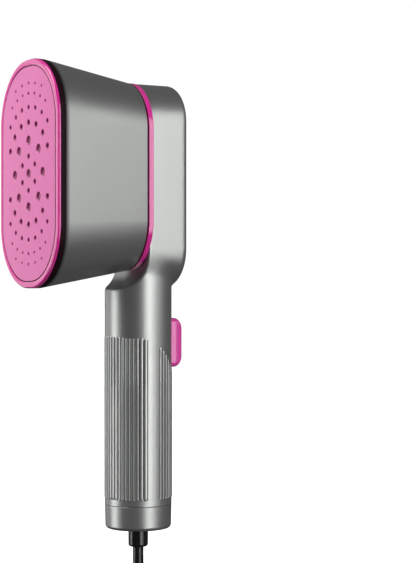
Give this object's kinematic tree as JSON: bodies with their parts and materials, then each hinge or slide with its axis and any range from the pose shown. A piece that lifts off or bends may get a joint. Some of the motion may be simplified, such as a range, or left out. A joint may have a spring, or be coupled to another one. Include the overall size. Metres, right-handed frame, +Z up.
{
  "type": "garment steamer",
  "caption": "Hand-held garment steamer with a ribbed round handle, a thumb button and a steam head that swivels a quarter turn on a flat back housing.",
  "frame": {"origin": "on the handle's axis at the middle of the grip, where a hand holds it", "axes": "+Z up along the handle, -Y towards the steam plate, +Y towards the steam button"},
  "size_m": [0.1106, 0.1411, 0.3602],
  "materials": {
    "satin_grey_shell": "satin metallic grey paint",
    "fuchsia_trim": "gloss",
    "fuchsia_plate": "satin gloss",
    "black_moulding": "gloss",
    "cord_jacket": "smooth",
    "black_seal": "satin",
    "grey_rubber": "matt",
    "silicone": "matt",
    "white_nylon": "matt",
    "circuit_board": "solder mask",
    "cast_alloy": "cast",
    "steel": "plated",
    "brass": "plated",
    "tank_plastic": "clear"
  },
  "bodies": {
    "handle": {"handle_shell": "satin_grey_shell", "front_plate": "satin_grey_shell", "end_cap": "satin_grey_shell", "strain_relief": "black_moulding", "cord_clamp": "white_nylon", "board_carrier": "white_nylon", "control_board": "circuit_board", "power_relay": "black_moulding", "power_capacitor": "cast_alloy", "microswitch": "black_moulding", "internal_wires": "cord_jacket", "head_wires": "cord_jacket", "swivel_bush": "white_nylon", "detent_plunger": "steel", "detent_spring": "steel", "button_spring": "steel", "plate_screw_1": "steel", "plate_screw_2": "steel", "plate_screw_3": "steel", "plate_screw_4": "steel", "cord_lead": "cord_jacket", "cord_coil": "cord_jacket", "cord_tie": "black_moulding", "cord_tail": "cord_jacket", "plug_body": "black_moulding", "plug_pin_1": "brass", "plug_pin_2": "brass"},
    "head": {"swivel_ring": "fuchsia_trim", "swivel_spigot": "white_nylon", "spigot_retainer": "steel", "head_shell": "satin_grey_shell", "head_gasket": "black_seal", "steam_plate": "fuchsia_plate", "steam_chamber": "cast_alloy", "chamber_seal": "silicone", "heating_element": "steel", "thermostat": "cast_alloy", "thermal_fuse": "white_nylon", "water_tank": "tank_plastic", "water_pump": "black_moulding", "tank_hose": "silicone", "steam_hose": "silicone", "chamber_screw_1": "steel", "chamber_screw_2": "steel", "chamber_screw_3": "steel", "chamber_screw_4": "steel"},
    "button": {"steam_button": "fuchsia_trim"},
    "filler": {"tank_plug": "grey_rubber"}
  },
  "joints": [
    {"name": "head_swivel", "type": "hinge", "parent": "handle", "child": "head", "pos_m": [0, 0, 0.1432], "axis": [0, 1, 0], "range_deg": [0, 90]},
    {"name": "button_press", "type": "slide", "parent": "handle", "child": "button", "axis": [0, -1, 0], "range_m": [0, 0.0022], "stiffness_N_per_m": 900, "deforming": ["button_spring"]},
    {"name": "plug_pull", "type": "slide", "parent": "head", "child": "filler", "axis": [-0.9837, 0.1799, 0], "range_m": [0, 0.012]}
  ]
}
